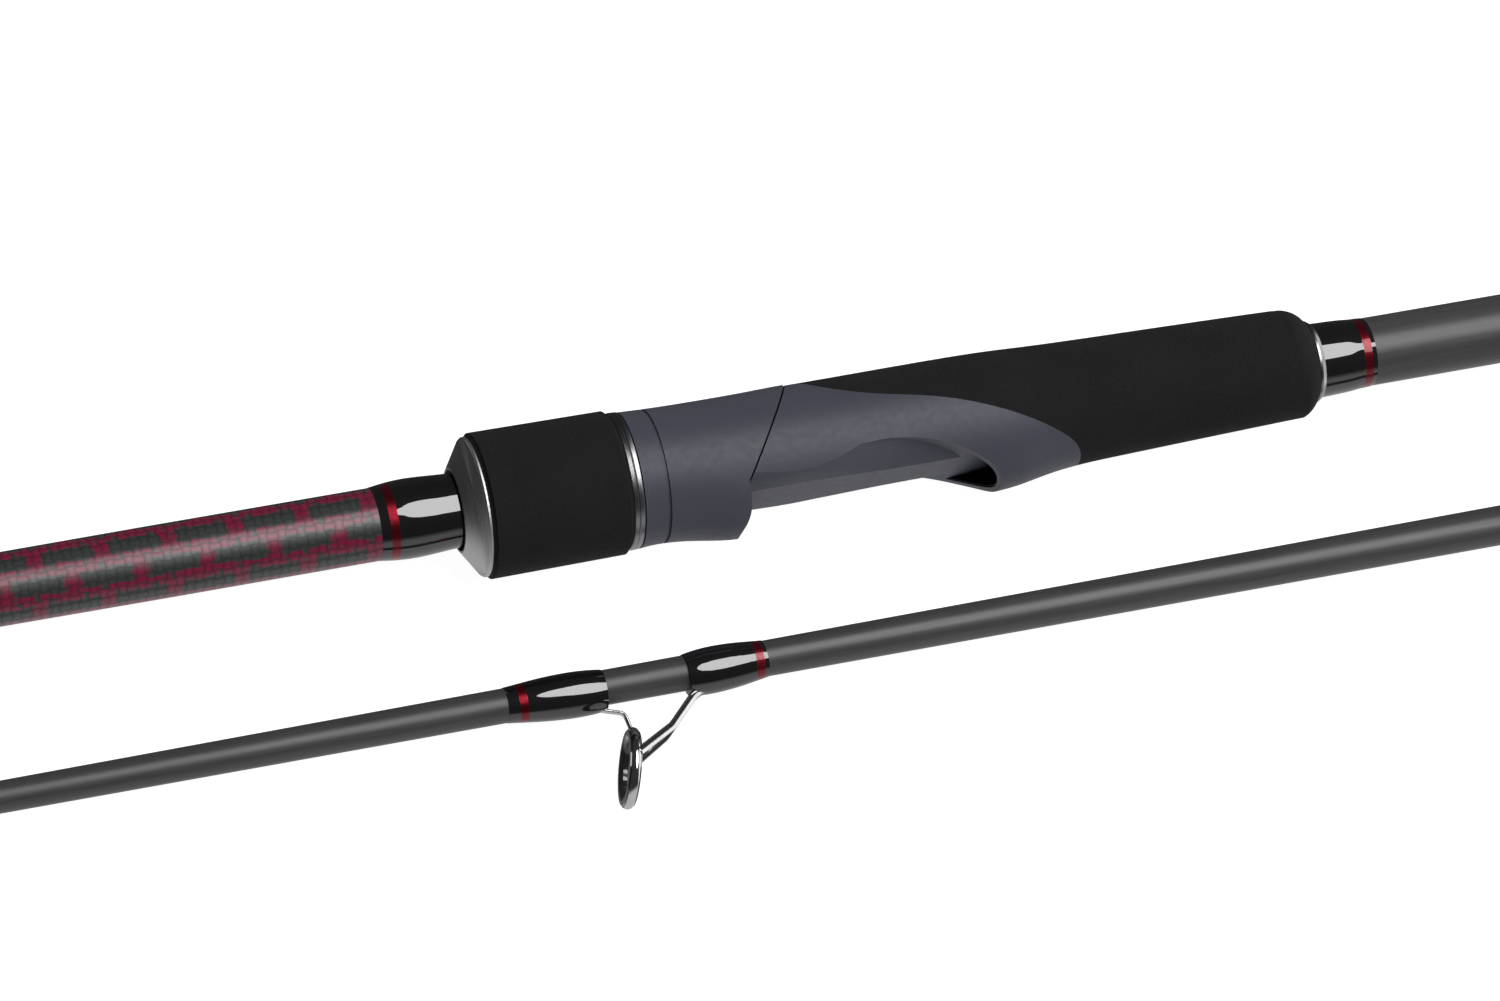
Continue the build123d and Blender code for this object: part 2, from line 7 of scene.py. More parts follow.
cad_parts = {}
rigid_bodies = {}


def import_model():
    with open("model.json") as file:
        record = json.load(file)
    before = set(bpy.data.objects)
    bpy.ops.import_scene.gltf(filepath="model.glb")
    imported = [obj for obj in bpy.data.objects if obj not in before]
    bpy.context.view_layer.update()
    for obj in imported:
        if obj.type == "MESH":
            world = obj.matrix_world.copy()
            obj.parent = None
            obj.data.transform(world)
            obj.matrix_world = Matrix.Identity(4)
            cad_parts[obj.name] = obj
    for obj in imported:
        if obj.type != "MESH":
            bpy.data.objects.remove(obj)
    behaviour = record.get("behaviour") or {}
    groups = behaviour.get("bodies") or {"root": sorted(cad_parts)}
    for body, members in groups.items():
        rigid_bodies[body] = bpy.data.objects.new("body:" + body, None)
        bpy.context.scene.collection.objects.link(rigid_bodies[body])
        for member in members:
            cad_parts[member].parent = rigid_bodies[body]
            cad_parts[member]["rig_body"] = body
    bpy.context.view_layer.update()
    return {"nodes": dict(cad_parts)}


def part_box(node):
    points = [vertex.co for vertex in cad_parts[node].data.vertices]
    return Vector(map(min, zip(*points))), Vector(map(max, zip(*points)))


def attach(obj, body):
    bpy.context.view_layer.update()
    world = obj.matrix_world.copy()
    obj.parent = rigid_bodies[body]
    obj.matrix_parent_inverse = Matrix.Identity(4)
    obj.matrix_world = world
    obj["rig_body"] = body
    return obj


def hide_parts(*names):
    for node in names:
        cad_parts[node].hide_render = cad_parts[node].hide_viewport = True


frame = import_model()
NODES = frame["nodes"]
MM = 0.001

# Lengths on the object are in mm. x is measured from the middle of the seam between the sliding hood and the
# reel seat, and radii, y and z from the axis of the section. Lights and texture coordinates are in metres.

# ------------------------------------------------------------------ places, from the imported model
NUT_FRONT_TO_SEAM = 56.4
SEAM_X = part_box("nut_core")[0].x + NUT_FRONT_TO_SEAM * MM


def axis_of(node):
    """(y, z) of the axis of a round node, in metres."""
    lo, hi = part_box(node)
    return (lo.y + hi.y) / 2, (lo.z + hi.z) / 2


def span_of(node):
    """x of the front and rear end of a node."""
    lo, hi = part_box(node)
    return (lo.x - SEAM_X) / MM, (hi.x - SEAM_X) / MM


BUTT_AXIS = axis_of("butt_blank")
TIP_AXIS = axis_of("tip_blank")
BUTT_FRONT, BUTT_REAR = span_of("butt_blank")
TIP_FRONT, TIP_REAR = span_of("tip_blank")
SLEEVE_FRONT, SLEEVE_REAR = span_of("woven_sleeve")
WRAP_FRONT, WRAP_REAR = span_of("rear_wrap")
BAND_FRONT, BAND_REAR = span_of("rear_band")
BARREL_FRONT = span_of("threaded_barrel")[0]

# ------------------------------------------------------------------ camera
# degrees: towards the guide side, towards the front, and in the picture
CAMERA_TILT, CAMERA_YAW, CAMERA_ROLL = 15.0, 14.0, 9.946
CAMERA_FROM_SEAM = (-326.2, -8.0, 1302.5)       # before the tilt
CAMERA_LENS, CAMERA_SENSOR = 164.6, 36.0


def add_camera():
    """Looks down on the reel seat, leaning to the guide side and to the front of the rod."""
    tilt, yaw, roll = (math.radians(angle) for angle in (CAMERA_TILT, CAMERA_YAW, CAMERA_ROLL))
    forward = Vector((math.sin(yaw), 0, -math.cos(yaw)))
    along = Vector((math.cos(yaw), 0, math.sin(yaw)))
    across = Vector((0, 1, 0))
    right = math.cos(roll) * along - math.sin(roll) * across
    up = math.sin(roll) * along + math.cos(roll) * across
    turn = Matrix.Rotation(tilt, 3, "X")
    place = Vector((SEAM_X, *BUTT_AXIS)) + turn @ Vector(CAMERA_FROM_SEAM) * MM
    data = bpy.data.cameras.new("camera")
    data.sensor_width = CAMERA_SENSOR
    data.lens = CAMERA_LENS
    data.clip_start = 0.02
    data.clip_end = 50.0
    camera = bpy.data.objects.new("camera", data)
    bpy.context.scene.collection.objects.link(camera)
    axes = Matrix([turn @ right, turn @ up, turn @ -forward]).transposed()
    camera.matrix_world = Matrix.Translation(place) @ axes.to_4x4()
    bpy.context.scene.camera = camera


add_camera()


# ------------------------------------------------------------------ shader trees
class Nodes:
    """Short calls that add nodes to a shader tree. A socket takes a value or another node's output."""

    def __init__(self, tree):
        self.tree = tree

    def node(self, kind, links=None, **settings):
        made = self.tree.nodes.new("ShaderNode" + kind)
        for key, value in settings.items():
            setattr(made, key, value)
        for socket, value in (links or {}).items():
            target = made.inputs[socket]
            if isinstance(value, bpy.types.NodeSocket):
                self.tree.links.new(value, target)
            else:
                target.default_value = value
        return made

    def math(self, operation, a, b=0.0):
        return self.node("Math", {0: a, 1: b}, operation=operation).outputs[0]

    def modulo(self, value, period):
        return self.math("FLOORED_MODULO", value, period)

    def gap(self, a, b):
        """Distance between two numbers."""
        return self.math("ABSOLUTE", self.math("SUBTRACT", a, b))

    def ramp(self, value, low, high, to_low=0.0, to_high=1.0, smooth=False):
        links = {"Value": value, "From Min": low, "From Max": high, "To Min": to_low, "To Max": to_high}
        made = self.node("MapRange", links)
        made.interpolation_type = "SMOOTHSTEP" if smooth else "LINEAR"
        return made.outputs["Result"]

    def mix_number(self, share, a, b):
        return self.node("Mix", {"Factor": share, 2: a, 3: b}).outputs[0]


class Shade(Nodes):
    """A material and short calls that build its nodes."""

    def __init__(self, name, **settings):
        self.material = bpy.data.materials.new(name)
        self.material.use_nodes = True
        super().__init__(self.material.node_tree)
        self.bsdf = self.tree.nodes["Principled BSDF"]
        self.coords = None
        for key, value in settings.items():
            socket = self.bsdf.inputs[key.replace("_", " ")]
            socket.default_value = (*value, 1.0) if isinstance(value, tuple) else value

    def place(self):
        """Object coordinates, in metres, in the part's frame."""
        if self.coords is None:
            self.coords = self.node("TexCoord").outputs["Object"]
        return self.coords

    def from_axis(self, axis):
        """x, and y and z measured from an axis along X."""
        split = self.node("SeparateXYZ", {0: self.place()})
        y = self.math("SUBTRACT", split.outputs["Y"], axis[0])
        z = self.math("SUBTRACT", split.outputs["Z"], axis[1])
        return split.outputs["X"], y, z

    def arc(self, y, z, radius):
        """Length along the circle round the axis."""
        return self.math("MULTIPLY", self.math("ARCTAN2", z, y), radius)

    def flat(self, x, arc):
        return self.node("CombineXYZ", {"X": x, "Y": arc}).outputs[0]

    def wrapped(self, axis, radius):
        """The surface of a round piece rolled out flat, x along it and y round it."""
        x, y, z = self.from_axis(axis)
        return self.flat(x, self.arc(y, z, radius))

    def scaled(self, vector, scale):
        return self.node("VectorMath", {0: vector, 1: scale}, operation="MULTIPLY").outputs[0]

    def noise(self, vector, scale, detail=2.0, rough=0.5):
        links = {"Vector": vector, "Scale": scale, "Detail": detail, "Roughness": rough}
        return self.node("TexNoise", links).outputs["Fac"]

    def streaks(self, vector, scale, detail=2.0, rough=0.5):
        """Noise with a scale of its own along each axis."""
        return self.noise(self.scaled(vector, scale), 1.0, detail, rough)

    def bands(self, vector, scale, distortion=0.0, detail=2.0):
        """Soft stripes across X."""
        links = {"Vector": vector, "Scale": scale, "Distortion": distortion, "Detail": detail}
        return self.node("TexWave", links, wave_type="BANDS", bands_direction="X").outputs["Fac"]

    def mix(self, share, a, b):
        made = self.node("Mix", {"Factor": share}, data_type="RGBA")
        for socket, value in ((made.inputs[6], a), (made.inputs[7], b)):
            if isinstance(value, bpy.types.NodeSocket):
                self.tree.links.new(value, socket)
            else:
                socket.default_value = (*value, 1.0)
        return made.outputs[2]

    def mottle(self, scale, detail, dark, light):
        """A colour that drifts between two tones."""
        return self.mix(self.ramp(self.noise(self.place(), scale, detail), 0.3, 0.7), dark, light)

    def bump(self, height, depth, strength=1.0, under=None):
        """Surface relief, its depth in mm."""
        links = {"Height": height, "Distance": depth * MM, "Strength": strength}
        if under is not None:
            links["Normal"] = under
        return self.node("Bump", links).outputs[0]

    def give(self, **sockets):
        """Links the shader's sockets and returns the material."""
        for key, value in sockets.items():
            self.tree.links.new(value, self.bsdf.inputs[key.replace("_", " ")])
        return self.material


# ------------------------------------------------------------------ studio
LAMP_PLACE = (SEAM_X + 0.62, BUTT_AXIS[0] + 0.23, 1.8)
LAMP_SIZE = (1.30, 1.70)
LAMP_RADIANCE = 5.6
FLOOR_REACH = 12
FLOOR_TONE, FLOOR_GLOW = 0.45, 0.95


def softbox():
    """Oval light that faces straight down, its axes along X and Y."""
    data = bpy.data.lights.new("softbox", "AREA")
    data.shape = "ELLIPSE"
    data.size, data.size_y = LAMP_SIZE
    area = math.pi / 4 * LAMP_SIZE[0] * LAMP_SIZE[1]
    data.energy = LAMP_RADIANCE * math.pi * area
    light = bpy.data.objects.new("softbox", data)
    bpy.context.scene.collection.objects.link(light)
    light.location = LAMP_PLACE
    light.visible_camera = False


def white_floor():
    """Glowing white floor that the object does not mirror."""
    a = FLOOR_REACH
    mesh = bpy.data.meshes.new("floor")
    mesh.from_pydata([(-a, -a, 0), (a, -a, 0), (a, a, 0), (-a, a, 0)], [], [(0, 1, 2, 3)])
    floor = bpy.data.objects.new("floor", mesh)
    bpy.context.scene.collection.objects.link(floor)
    floor.visible_glossy = False
    white = Shade("floor_white", Base_Color=(FLOOR_TONE,) * 3, Roughness=0.9,
                  Emission_Color=(1.0, 1.0, 1.0), Emission_Strength=FLOOR_GLOW)
    mesh.materials.append(white.material)


def surroundings():
    """Bright on the low -Y side and towards the butt, dark elsewhere. The camera itself sees plain white."""
    world = bpy.data.worlds.new("studio")
    bpy.context.scene.world = world
    world.use_nodes = True
    world.node_tree.nodes.clear()
    n = Nodes(world.node_tree)
    direction = n.node("TexCoord").outputs["Generated"]
    low_side = n.node("VectorMath", {0: direction, 1: (0, -0.707, -0.707)}, operation="DOT_PRODUCT")
    side_light = n.ramp(low_side.outputs["Value"], 0.42, 0.62, to_low=0.05, to_high=0.74)
    towards_butt = n.node("SeparateXYZ", {0: direction}).outputs["X"]
    end_light = n.ramp(towards_butt, 0.76, 0.84, to_high=1.6)
    camera_ray = n.node("LightPath").outputs["Is Camera Ray"]
    strength = n.mix_number(camera_ray, n.math("ADD", side_light, end_light), 1.0)
    background = n.node("Background", {"Strength": strength}).outputs[0]
    n.node("OutputWorld", {"Surface": background})


softbox()
white_floor()
surroundings()
bpy.context.scene.view_settings.view_transform = "Standard"


# ------------------------------------------------------------------ materials
def foam():
    """Closed-cell foam: fine grain with small pores."""
    s = Shade("foam_black", Roughness=0.85, Specular_IOR_Level=0.2)
    grain = s.noise(s.place(), 2600.0, detail=3.0, rough=0.65)
    cells = s.node("TexVoronoi", {"Vector": s.place(), "Scale": 1900.0}).outputs["Distance"]
    pores = s.ramp(cells, 0.10, 0.45, smooth=True)
    tone = s.mottle(90.0, 3.0, (0.0085, 0.0085, 0.0088), (0.0120, 0.0120, 0.0123))
    color = s.mix(s.ramp(grain, 0.35, 0.7, to_high=0.55), tone, (0.020, 0.020, 0.0205))
    pitted = s.bump(pores, 0.07, 0.7)
    return s.give(Base_Color=color, Normal=s.bump(grain, 0.10, 0.6, pitted))


def seat_paint():
    """Satin blue-grey paint with fine flecks and a slight peel."""
    s = Shade("seat_paint", Specular_IOR_Level=0.38, Coat_Weight=0.06, Coat_Roughness=0.35)
    fleck = s.noise(s.place(), 9000.0, detail=2.0, rough=0.6)
    tone = s.mottle(55.0, 2.0, (0.055, 0.058, 0.080), (0.062, 0.065, 0.088))
    color = s.mix(s.ramp(fleck, 0.4, 0.75, to_high=0.35), tone, (0.11, 0.115, 0.13))
    rough = s.ramp(s.noise(s.place(), 700.0, detail=3.0), 0.3, 0.7, 0.48, 0.58)
    peel = s.noise(s.place(), 1500.0)
    return s.give(Base_Color=color, Roughness=rough, Normal=s.bump(peel, 0.02, 0.5))


def blank_carbon(name, axis, radius):
    """Satin carbon: fibres along the tube and faint tape ridges round it."""
    s = Shade(name, Coat_Weight=0.25, Coat_Roughness=0.30)
    wrapped = s.wrapped(axis, radius)
    fibre = s.streaks(wrapped, (60.0, 3200.0, 1.0), detail=4.0, rough=0.6)
    tape = s.bands(s.scaled(wrapped, (1.0, 0.12, 1.0)), 160.0, distortion=0.8, detail=1.0)
    tone = s.mottle(40.0, 2.0, (0.045, 0.045, 0.046), (0.052, 0.052, 0.053))
    color = s.mix(s.ramp(fibre, 0.35, 0.75, to_high=0.6), tone, (0.084, 0.084, 0.085))
    rough = s.ramp(fibre, 0.3, 0.7, 0.38, 0.52)
    ridged = s.bump(tape, 0.010, 0.35)
    return s.give(Base_Color=color, Roughness=rough, Normal=s.bump(fibre, 0.012, 0.6, ridged))


CELLS_ROUND = 24            # weave cells round the skin
# how far apart the crimson rows, the hoops and the breaks in a row are, in cells
ROW_PERIOD = 3.0
HOOP_PERIOD = 7.0
DASH_PERIOD = HOOP_PERIOD / 2


def woven_skin(axis, radius):
    """Dark carbon weave with a net of crimson yarns, under a satin coat, with painted shade in the dips
    between the yarns and a painted highlight on their crowns.
    """
    s = Shade("woven_skin", Coat_Weight=0.4, Coat_Roughness=0.22)
    x, y, z = s.from_axis(axis)
    arc = s.arc(y, z, radius)
    wrapped = s.flat(x, arc)
    cell = 2 * math.pi * radius / CELLS_ROUND
    u, v = s.math("DIVIDE", x, cell), s.math("DIVIDE", arc, cell)
    # plain weave: each cell's yarn runs along the rod or across it in turn, and is highest at its middle
    crosses = s.modulo(s.math("ADD", s.math("FLOOR", u), s.math("FLOOR", v)), 2.0)
    along = s.math("SINE", s.math("MULTIPLY", s.math("FRACT", u), math.pi))
    across = s.math("SINE", s.math("MULTIPLY", s.math("FRACT", v), math.pi))
    crown = s.mix_number(crosses, along, across)
    # crimson yarns: broken rows along the rod, joined by short hoops that are staggered from row to row
    drift_u = s.ramp(s.streaks(wrapped, (500.0, 500.0, 1.0)), 0.3, 0.7, -0.28, 0.28)
    drift_v = s.ramp(s.streaks(wrapped, (330.0, 610.0, 1.0)), 0.3, 0.7, -0.2, 0.2)
    u, v = s.math("ADD", u, drift_u), s.math("ADD", v, drift_v)
    from_row = s.gap(s.modulo(s.math("ADD", v, ROW_PERIOD / 2), ROW_PERIOD), ROW_PERIOD / 2)
    row = s.ramp(from_row, 0.72, 0.45, smooth=True)
    band = s.math("FLOOR", s.math("DIVIDE", v, ROW_PERIOD))
    stagger = s.math("MULTIPLY", s.modulo(band, 2.0), HOOP_PERIOD / 2)
    from_hoop = s.gap(s.modulo(s.math("ADD", u, stagger), HOOP_PERIOD), HOOP_PERIOD / 2)
    hoop = s.ramp(from_hoop, 1.0, 0.6, smooth=True)
    into_dash = s.modulo(s.math("ADD", u, s.math("MULTIPLY", band, 2.0)), DASH_PERIOD)
    dash = s.ramp(into_dash, 0.35, 0.65, smooth=True)
    crimson = s.math("MAXIMUM", s.math("MULTIPLY", row, dash), hoop)
    missing = s.streaks(wrapped, (420.0, 420.0, 1.0), detail=1.0)
    crimson = s.math("MULTIPLY", crimson, s.ramp(missing, 0.24, 0.38))
    fibre = s.streaks(wrapped, (900.0, 2600.0, 1.0), detail=3.0)
    # carbon and crimson go darker where the yarns dip and lighter on each yarn's crown: painted shade and
    # painted highlight laid over the real weave
    carbon = s.mix(crown, (0.010, 0.012, 0.012), (0.050, 0.056, 0.055))
    carbon = s.mix(s.ramp(fibre, 0.35, 0.7, to_high=0.5), carbon, (0.030, 0.032, 0.032))
    red = s.mix(crown, (0.075, 0.002, 0.014), (0.23, 0.007, 0.045))
    color = s.mix(crimson, carbon, red)
    rough = s.ramp(crown, 0.0, 1.0, 0.5, 0.36)
    return s.give(Base_Color=color, Roughness=rough, Normal=s.bump(crown, 0.04, 0.5))


def wrap_lacquer(name, axis, radius):
    """Black winding thread under thick clear lacquer."""
    s = Shade(name, Roughness=0.5, Specular_IOR_Level=0.05,
              Coat_Weight=1.0, Coat_Roughness=0.02, Coat_IOR=1.9)
    wrapped = s.wrapped(axis, radius)
    thread = s.bands(s.scaled(wrapped, (1.0, 0.02, 1.0)), 1500.0, distortion=0.15)
    color = s.mix(thread, (0.0035, 0.0035, 0.004), (0.0085, 0.0085, 0.0095))
    wave = s.streaks(wrapped, (90.0, 40.0, 1.0), detail=1.0)
    return s.give(Base_Color=color, Normal=s.bump(thread, 0.02, 0.35), Coat_Normal=s.bump(wave, 0.05, 0.35))


def trim_crimson(name, axis, radius):
    """Metallic crimson thread under lacquer."""
    s = Shade(name, Roughness=0.30, Metallic=0.85, Coat_Weight=0.6, Coat_Roughness=0.03)
    wrapped = s.wrapped(axis, radius)
    thread = s.bands(wrapped, 1700.0)
    glint = s.streaks(wrapped, (3000.0, 900.0, 1.0))
    color = s.mix(thread, (0.10, 0.0015, 0.007), (0.26, 0.004, 0.016))
    color = s.mix(s.ramp(glint, 0.45, 0.8, to_high=0.4), color, (0.45, 0.02, 0.04))
    return s.give(Base_Color=color, Normal=s.bump(thread, 0.03, 0.5))


def brushed(name, axis, radius, tone, rough):
    """Metal turned on a lathe: fine rings round the axis."""
    s = Shade(name, Metallic=1.0, Anisotropic=0.5)
    x, y, z = s.from_axis(axis)
    reach = s.math("SQRT", s.math("ADD", s.math("MULTIPLY", y, y), s.math("MULTIPLY", z, z)))
    turned = s.node("CombineXYZ", {"X": x, "Y": s.arc(y, z, radius), "Z": reach}).outputs[0]
    brush = s.streaks(turned, (14000.0, 60.0, 14000.0), detail=3.0, rough=0.6)
    dull = tuple(0.72 * t for t in tone)
    color = s.mix(s.ramp(brush, 0.3, 0.7), dull, tone)
    return s.give(Base_Color=color, Roughness=s.ramp(brush, 0.3, 0.7, rough - 0.06, rough + 0.10),
                  Normal=s.bump(brush, 0.012, 0.6))


def guide_metal():
    """Polished metal with faint smears and scratches."""
    s = Shade("guide_metal", Metallic=1.0)
    smear = s.noise(s.place(), 500.0, detail=3.0)
    color = s.mix(s.ramp(smear, 0.3, 0.7), (0.58, 0.58, 0.59), (0.70, 0.70, 0.71))
    scratch = s.streaks(s.place(), (700.0, 5000.0, 5000.0))
    return s.give(Base_Color=color, Roughness=s.ramp(smear, 0.3, 0.7, 0.05, 0.12),
                  Normal=s.bump(scratch, 0.004, 0.5))


def ring_ceramic():
    """Polished dark ceramic."""
    s = Shade("ring_ceramic", Specular_IOR_Level=0.7, Coat_Weight=0.6, Coat_Roughness=0.03)
    speck = s.noise(s.place(), 6000.0)
    color = s.mix(s.ramp(speck, 0.4, 0.7), (0.020, 0.020, 0.022), (0.036, 0.036, 0.038))
    return s.give(Base_Color=color, Roughness=s.ramp(speck, 0.3, 0.7, 0.08, 0.16))


def moulded(name, tone, rough, grain_scale, depth):
    """Plain dark plastic, rubber or ground carbon with a fine grain."""
    s = Shade(name)
    grain = s.noise(s.place(), grain_scale, detail=3.0, rough=0.6)
    lighter = tuple(1.5 * t for t in tone)
    color = s.mix(s.ramp(grain, 0.35, 0.7), tone, lighter)
    return s.give(Base_Color=color, Roughness=s.ramp(grain, 0.3, 0.7, rough - 0.05, rough + 0.07),
                  Normal=s.bump(grain, depth, 0.6))


MATERIALS = {
    "foam": foam(),
    "paint": seat_paint(),
    "woven": woven_skin(BUTT_AXIS, 7.15 * MM),
    "guide": guide_metal(),
    "ceramic": ring_ceramic(),
    # the pocket liners are made near-black so the hood mouths read dark: painted shade inside the mouths
    "liner": moulded("liner_black", (0.0035, 0.0035, 0.0035), 0.75, 3000.0, 0.03),
    "barrel": moulded("barrel_plastic", (0.018, 0.018, 0.019), 0.42, 2500.0, 0.01),
    "spigot": moulded("spigot_carbon", (0.028, 0.028, 0.029), 0.38, 3500.0, 0.006),
    "cap": moulded("cap_rubber", (0.014, 0.014, 0.014), 0.68, 1800.0, 0.05),
    "brushed_ring": brushed("brushed_ring", BUTT_AXIS, 13.0 * MM, (0.36, 0.36, 0.37), 0.32),
    "collar": brushed("brushed_collar", BUTT_AXIS, 11.0 * MM, (0.72, 0.72, 0.725), 0.46),
    "check": brushed("bright_check", BUTT_AXIS, 8.0 * MM, (0.42, 0.42, 0.43), 0.26),
}
for section, axis, blank_r in (("butt", BUTT_AXIS, 6.8), ("tip", TIP_AXIS, 3.6)):
    MATERIALS[section + "_carbon"] = blank_carbon(section + "_carbon", axis, blank_r * MM)
    MATERIALS[section + "_wrap"] = wrap_lacquer(section + "_lacquer", axis, 6.0 * MM)
    MATERIALS[section + "_band"] = trim_crimson(section + "_crimson", axis, 6.0 * MM)

BY_NAME = {
    "butt_blank": "butt_carbon",
    "tip_blank": "tip_carbon",
    "woven_sleeve": "woven",
    "ferrule_spigot": "spigot",
    "seat_body": "paint",
    "sliding_hood": "paint",
    "threaded_barrel": "barrel",
    "nut_core": "barrel",
    "nut_collar": "collar",
    "nut_ring": "brushed_ring",
    "butt_ring": "brushed_ring",
    "butt_cap": "cap",
}
# {} stands for the section, butt or tip
BY_LAST_WORD = {
    "frame": "guide",
    "ring": "ceramic",
    "liner": "liner",
    "grip": "foam",
    "check": "check",
    "wrap": "{}_wrap",
    "wraps": "{}_wrap",
    "band": "{}_band",
    "bands": "{}_band",
}


def material_for(name, body):
    if name in BY_NAME:
        return MATERIALS[BY_NAME[name]]
    section = "tip" if body == "tip_section" else "butt"
    return MATERIALS[BY_LAST_WORD[name.split("_")[-1]].format(section)]


for name, cad in NODES.items():
    cad.data.materials.clear()
    cad.data.materials.append(material_for(name, cad["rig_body"]))


# ------------------------------------------------------------------ mesh helpers
def new_piece(name, points, axis, faces, material, sharp=32.0):
    """Object from (x, y, z) points on the section with that axis, with creases from sharp degrees up."""
    placed = [(SEAM_X + x * MM, axis[0] + y * MM, axis[1] + z * MM) for x, y, z in points]
    mesh = bpy.data.meshes.new(name)
    mesh.from_pydata(placed, [], faces)
    mesh.validate()
    mesh.materials.append(material)
    mesh.set_sharp_from_angle(angle=math.radians(sharp))
    piece = bpy.data.objects.new(name, mesh)
    bpy.context.scene.collection.objects.link(piece)
    return piece


def turns(segments):
    return [2 * math.pi * k / segments for k in range(segments)]


def circle(radius, segments):
    """(y, z) points round the axis."""
    return [(radius * math.cos(turn), radius * math.sin(turn)) for turn in turns(segments)]


def ring_faces(rings, segments):
    """Faces between rings of points, the last ring joined to the first.

    They face outwards where the rings run towards +X on the outside and back on the inside.
    """
    faces = []
    for i in range(rings):
        j = (i + 1) % rings
        for k in range(segments):
            n = (k + 1) % segments
            faces.append((i * segments + k, i * segments + n, j * segments + n, j * segments + k))
    return faces


def lathe(name, outline, axis, material, segments=128):
    """Closed surface of revolution from (x, radius) points."""
    points = [(x, y, z) for x, r in outline for y, z in circle(r, segments)]
    return new_piece(name, points, axis, ring_faces(len(outline), segments), material)


def spread(profile, step):
    """Points along an outline no further apart than step."""
    dense = []
    for (x0, r0), (x1, r1) in zip(profile, profile[1:]):
        parts = max(1, math.ceil(math.hypot(x1 - x0, r1 - r0) / step))
        dense += [(x0 + (x1 - x0) * k / parts, r0 + (r1 - r0) * k / parts) for k in range(parts)]
    return dense + [profile[-1]]


def spline(a, b, c, d, t):
    """Catmull-Rom curve from b to c."""
    square = 2 * a - 5 * b + 4 * c - d
    cube = 3 * b - a - 3 * c + d
    return 0.5 * (2 * b + (c - a) * t + square * t * t + cube * t ** 3)


def curve(points, parts=8):
    """Smooth line through (x, radius) points."""
    ends = [points[0], *points, points[-1]]
    line = []
    for four in zip(ends, ends[1:], ends[2:], ends[3:]):
        xs, rs = zip(*four)
        line += [(spline(*xs, k / parts), spline(*rs, k / parts)) for k in range(parts)]
    return line + [points[-1]]


# ------------------------------------------------------------------ blanks, woven skin and rear wrap
BLANK_R, BLANK_WALL, BLANK_FRONT_R = 6.85, 1.0, 4.6
TAPER_X = -120.0                        # the butt blank tapers forward of here
SPIGOT_ROOT_R, SPIGOT_ROOM = 3.0, 75.0  # inside the front end of the butt blank
SOCKET_R, SOCKET_DEPTH = 3.65, 64.0     # inside the rear end of the tip blank
SKIN = 0.3                              # thickness of the woven skin
TIP_RADII = ((0.0, 0.95), (420.0, 2.3), (677.0, 3.13), (832.0, 3.57), (982.0, 3.97), (1200.0, 4.5))
LONGEST_STEP = 40.0


def blank_radius(x):
    """Outer radius of the butt blank."""
    if x >= TAPER_X:
        return BLANK_R
    return BLANK_R + (BLANK_FRONT_R - BLANK_R) * (TAPER_X - x) / (TAPER_X - BUTT_FRONT)


def butt_blank_tube():
    bore = BLANK_R - BLANK_WALL
    outer = spread([(BUTT_FRONT, BLANK_FRONT_R), (TAPER_X, BLANK_R), (BUTT_REAR, BLANK_R)], LONGEST_STEP)
    inner = [(BUTT_REAR, bore), (TAPER_X, bore), (BUTT_FRONT + SPIGOT_ROOM, SPIGOT_ROOT_R),
             (BUTT_FRONT, SPIGOT_ROOT_R)]
    piece = lathe("butt_blank_tube", outer + inner, BUTT_AXIS, MATERIALS["butt_carbon"])
    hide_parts("butt_blank")
    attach(piece, "butt_section")


def tip_blank_tube():
    """Open at the rear as a socket. The bore narrows forwards and all but closes 249 mm from the tip."""
    closed_r, bore_end = 0.02, TIP_FRONT + 249
    outer = spread([(TIP_FRONT + run, r) for run, r in TIP_RADII], LONGEST_STEP)
    inner = [(TIP_REAR, SOCKET_R), (TIP_REAR - SOCKET_DEPTH, SOCKET_R), (TIP_REAR - SOCKET_DEPTH - 6, 3.2),
             (bore_end + 1, 0.6), (bore_end, closed_r), (TIP_FRONT, closed_r)]
    piece = lathe("tip_blank_tube", outer + inner, TIP_AXIS, MATERIALS["tip_carbon"], segments=96)
    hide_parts("tip_blank")
    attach(piece, "tip_section")


def woven_skin_tube():
    front_r = blank_radius(SLEEVE_FRONT)
    outline = [(SLEEVE_FRONT, front_r), (SLEEVE_FRONT + SKIN, front_r + SKIN), (TAPER_X, BLANK_R + SKIN),
               (SLEEVE_REAR, BLANK_R + SKIN), (SLEEVE_REAR, BLANK_R), (TAPER_X, BLANK_R)]
    piece = lathe("woven_skin_tube", outline, BUTT_AXIS, MATERIALS["woven"])
    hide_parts("woven_sleeve")
    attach(piece, "butt_section")


def rear_wrap_smooth():
    """Lacquer that swells towards the grip, with a groove for the crimson band."""
    groove_r = BLANK_R + 0.05
    swell = curve([(WRAP_FRONT, 7.50), (120.0, 7.43), (122.0, 7.36), (124.2, 7.25), (BAND_FRONT, 7.04)])
    groove = [(BAND_FRONT, groove_r), (BAND_REAR, groove_r)]
    tail = [(BAND_REAR, 6.98), (WRAP_REAR, 6.88), (WRAP_REAR, BLANK_R), (WRAP_FRONT, BLANK_R)]
    piece = lathe("rear_wrap_smooth", swell + groove + tail, BUTT_AXIS, MATERIALS["butt_wrap"])
    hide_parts("rear_wrap")
    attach(piece, "butt_section")


butt_blank_tube()
tip_blank_tube()
woven_skin_tube()
rear_wrap_smooth()

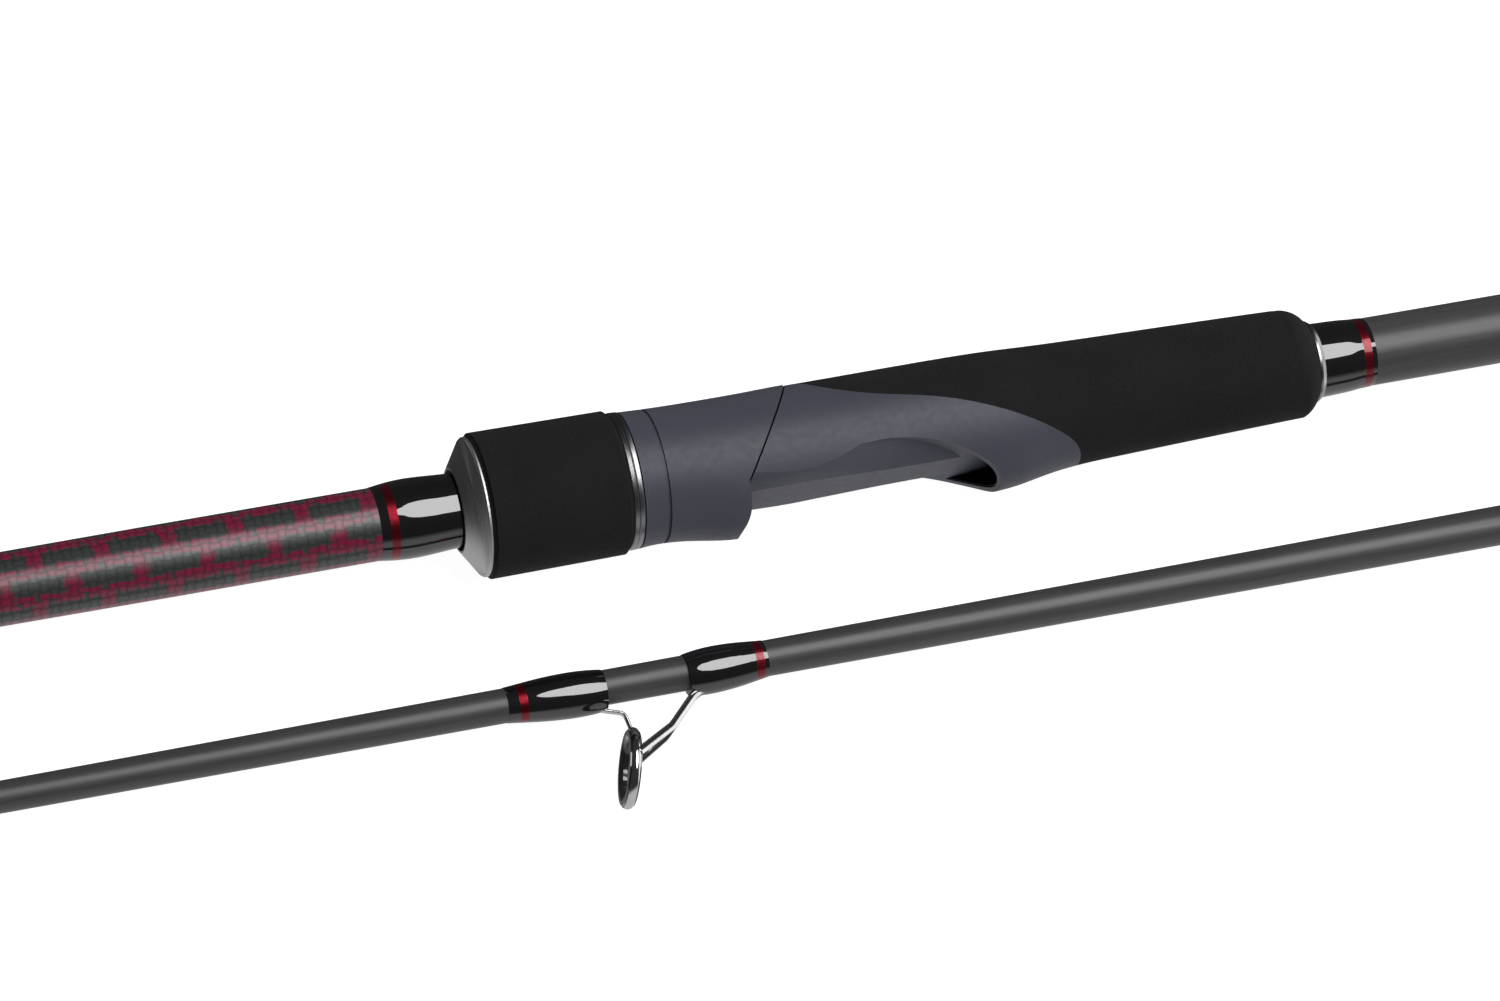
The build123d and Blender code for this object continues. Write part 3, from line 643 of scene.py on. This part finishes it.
# ------------------------------------------------------------------ thread on the barrel
PITCH, CREST_R, ROOT_R = 2.8, 9.98, 8.95
FLAT_Y = -8.4
BARREL_REAR = 16.0                      # before the slanted seam cuts it off
SEAM_LOW, SEAM_HIGH = (-3.95, -7.2), (13.74, 20.0)      # (x, y) on the hood side of the seam
SEAM_GAP = 0.4
FLANK_STEEPNESS, ROOT_FLAT = 2.4, 0.35
RIB_FRONT, RIB_REAR = -20.0, 6.0
RIB_FOOT_Y, RIB_TOP_Y, RIB_HALF_WIDTH = 9.0, 10.8, 1.4
BOX_FACES = ((3, 2, 1, 0), (4, 5, 6, 7), (1, 5, 4, 0), (2, 6, 5, 1), (3, 7, 6, 2), (0, 4, 7, 3))


def seam_x(y):
    """Where the seat side of the slanted seam is at height y."""
    slant = (SEAM_HIGH[0] - SEAM_LOW[0]) / (SEAM_HIGH[1] - SEAM_LOW[1])
    return SEAM_LOW[0] + SEAM_GAP + (y - SEAM_LOW[1]) * slant


def thread_radius(x, turn):
    """Rounded screw profile: crests and roots joined by sloped flanks."""
    phase = (x / PITCH - turn / (2 * math.pi)) % 1.0
    share = min(1.0, max(0.0, FLANK_STEEPNESS * abs(phase - 0.5) - ROOT_FLAT))
    return ROOT_R + (CREST_R - ROOT_R) * (0.5 - 0.5 * math.cos(math.pi * share))


def thread_point(x, turn):
    """Point on the thread, where the flat and the seam let it be."""
    x = min(x, seam_x(CREST_R * math.cos(turn)))
    r = thread_radius(x, turn)
    return x, max(r * math.cos(turn), FLAT_Y), r * math.sin(turn)


def rib_points():
    """Corners of the key rib on top of the barrel, its foot first."""
    outline = ((RIB_FRONT, -1), (RIB_FRONT, 1), (RIB_REAR, 1), (RIB_REAR, -1))
    return [(x, y, side * RIB_HALF_WIDTH) for y in (RIB_FOOT_Y, RIB_TOP_Y) for x, side in outline]


def barrel_thread():
    """Threaded tube up to the slanted seam, with a flat under it and a key rib on top."""
    segments, step = 144, 0.14
    rings = round((BARREL_REAR - BARREL_FRONT) / step) + 1
    points = [thread_point(BARREL_FRONT + i * step, turn) for i in range(rings) for turn in turns(segments)]
    bore = circle(BLANK_R, segments)
    points += [(seam_x(y), y, z) for y, z in bore]
    points += [(BARREL_FRONT, y, z) for y, z in bore]
    faces = ring_faces(rings + 2, segments)
    faces += [tuple(len(points) + corner for corner in face) for face in BOX_FACES]
    points += rib_points()
    piece = new_piece("barrel_thread", points, BUTT_AXIS, faces, MATERIALS["barrel"], sharp=50.0)
    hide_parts("threaded_barrel")
    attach(piece, "butt_section")


barrel_thread()
